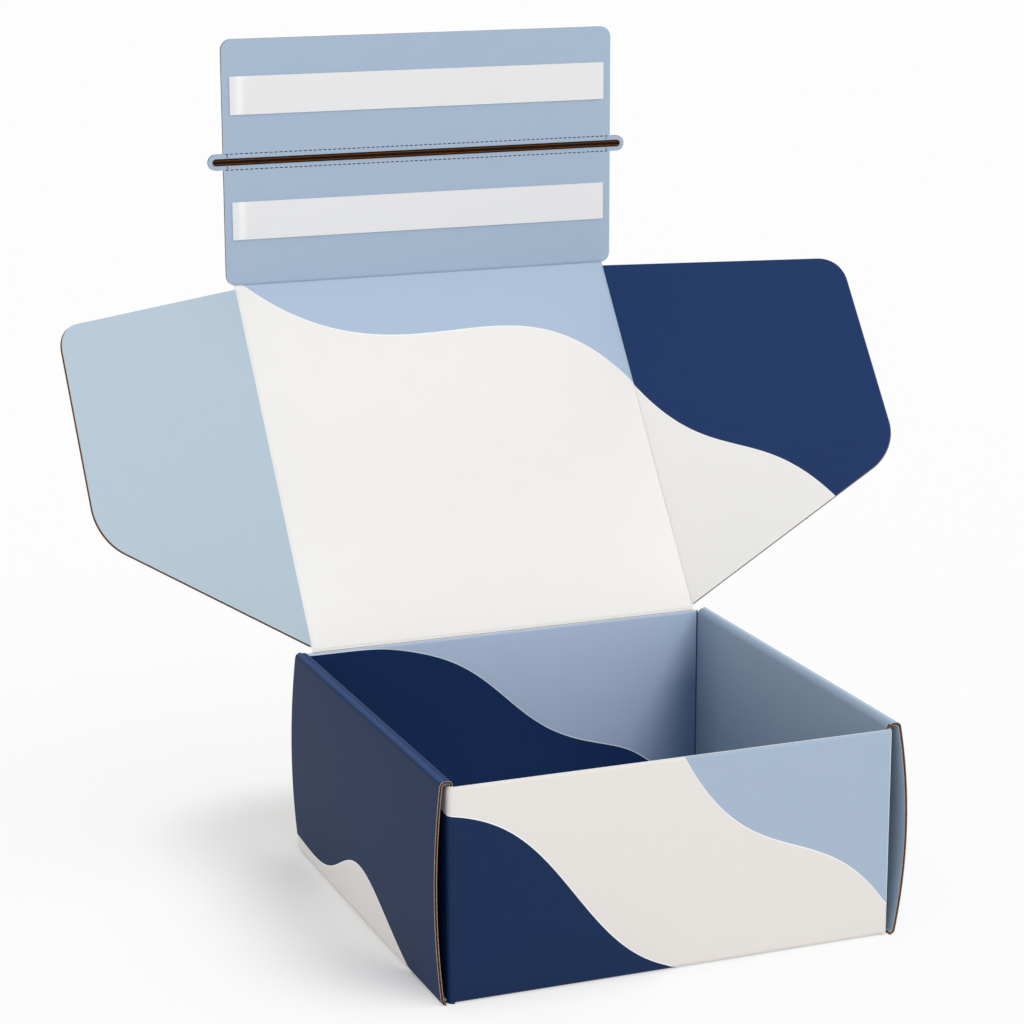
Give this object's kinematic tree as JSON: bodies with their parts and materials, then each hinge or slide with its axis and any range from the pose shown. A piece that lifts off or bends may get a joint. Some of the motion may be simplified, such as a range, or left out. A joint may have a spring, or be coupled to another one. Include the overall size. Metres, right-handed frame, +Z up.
{
  "type": "corrugated mailer box",
  "caption": "Open corrugated mailer box with rolled double side walls, hinged lid, two side ears and a closing flap with tear strip and adhesive strips.",
  "frame": {"origin": "middle of the base's underside, on the surface the box stands on, midway between its front and back walls and between the front wall's two edges", "axes": "+Z up, +Y from the front wall to the hinged back wall, +X to the right as seen from the front"},
  "size_m": [0.4407, 0.3501, 0.4167],
  "materials": {
    "tray_board": "matt printed paper liner",
    "white_board": "matt printed paper liner",
    "blue_board": "matt printed paper liner",
    "navy_board": "matt printed paper liner",
    "adhesive": "tacky film",
    "release_liner": "silicone-coated paper, satin",
    "tear_tape": "brown ribbed paper tape"
  },
  "bodies": {
    "tray": {"tray": "tray_board"},
    "lid": {"lid_panel": "white_board"},
    "left_ear": {"left_ear": "blue_board"},
    "right_ear": {"right_ear": "navy_board"},
    "closing_flap": {"closing_flap": "blue_board", "low_adhesive": "adhesive", "low_release_liner": "release_liner", "high_adhesive": "adhesive", "high_release_liner": "release_liner", "tear_tape": "tear_tape"}
  },
  "joints": [
    {"name": "lid_hinge", "type": "hinge", "parent": "tray", "child": "lid", "pos_m": [0, 0.10875, 0.10945], "axis": [1, 0, 0], "range_deg": [-53, 74]},
    {"name": "left_ear_hinge", "type": "hinge", "parent": "lid", "child": "left_ear", "pos_m": [-0.10935, 0.10875, 0.10945], "axis": [0, 0.6032, 0.7976], "range_deg": [-28.2, 61.8]},
    {"name": "right_ear_hinge", "type": "hinge", "parent": "lid", "child": "right_ear", "pos_m": [0.10935, 0.10875, 0.10945], "axis": [0, -0.6032, -0.7976], "range_deg": [-38.6, 51.4]},
    {"name": "flap_hinge", "type": "hinge", "parent": "lid", "child": "closing_flap", "pos_m": [0, 0.23959, 0.28245], "axis": [1, 0, 0], "range_deg": [-37, 53]}
  ]
}
